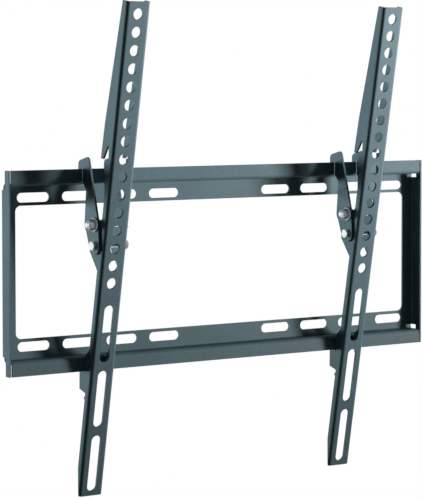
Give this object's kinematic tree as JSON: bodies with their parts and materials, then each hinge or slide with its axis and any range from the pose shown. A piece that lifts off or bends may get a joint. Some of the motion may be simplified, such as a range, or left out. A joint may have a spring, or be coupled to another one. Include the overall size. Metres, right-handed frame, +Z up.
{
  "type": "tv mount",
  "caption": "Tilting wall mount for a flat television: an open folded wall plate with channel arms that hang on its upper rail by hook plates and tilt on bolts.",
  "frame": {"origin": "middle of the wall plate's back face, which is the centre of its slot pattern", "axes": "+X along the plate to the viewer's right, +Y into the wall, +Z up"},
  "size_m": [0.44, 0.0799, 0.4143],
  "materials": {
    "powder_coat": "satin, fine-textured powder coat",
    "zinc": "bright zinc plate"
  },
  "bodies": {
    "wall": {"wall_plate": "powder_coat"},
    "left_hooks": {"left_hook_outer": "powder_coat", "left_hook_inner": "powder_coat", "left_pivot_bolt": "zinc", "left_pivot_washer": "zinc", "left_pivot_nut": "zinc"},
    "left_arm": {"left_arm": "powder_coat", "left_lock_bolt": "zinc", "left_lock_washer_head": "zinc", "left_lock_washer_nut": "zinc", "left_lock_nut": "zinc"},
    "right_hooks": {"right_hook_outer": "powder_coat", "right_hook_inner": "powder_coat", "right_pivot_bolt": "zinc", "right_pivot_washer": "zinc", "right_pivot_nut": "zinc"},
    "right_arm": {"right_arm": "powder_coat", "right_lock_bolt": "zinc", "right_lock_washer_head": "zinc", "right_lock_washer_nut": "zinc", "right_lock_nut": "zinc"}
  },
  "joints": [
    {"name": "left_slide", "type": "slide", "parent": "wall", "child": "left_hooks", "axis": [1, 0, 0], "range_m": [-0.06, 0.085]},
    {"name": "left_tilt", "type": "hinge", "parent": "left_hooks", "child": "left_arm", "pos_m": [-0.136, -0.031, 0.0215], "axis": [1, 0, 0], "range_deg": [-10.5, 0]},
    {"name": "right_slide", "type": "slide", "parent": "wall", "child": "right_hooks", "axis": [1, 0, 0], "range_m": [-0.08, 0.065]},
    {"name": "right_tilt", "type": "hinge", "parent": "right_hooks", "child": "right_arm", "pos_m": [0.1305, -0.031, 0.0215], "axis": [1, 0, 0], "range_deg": [-10.5, 0]}
  ]
}
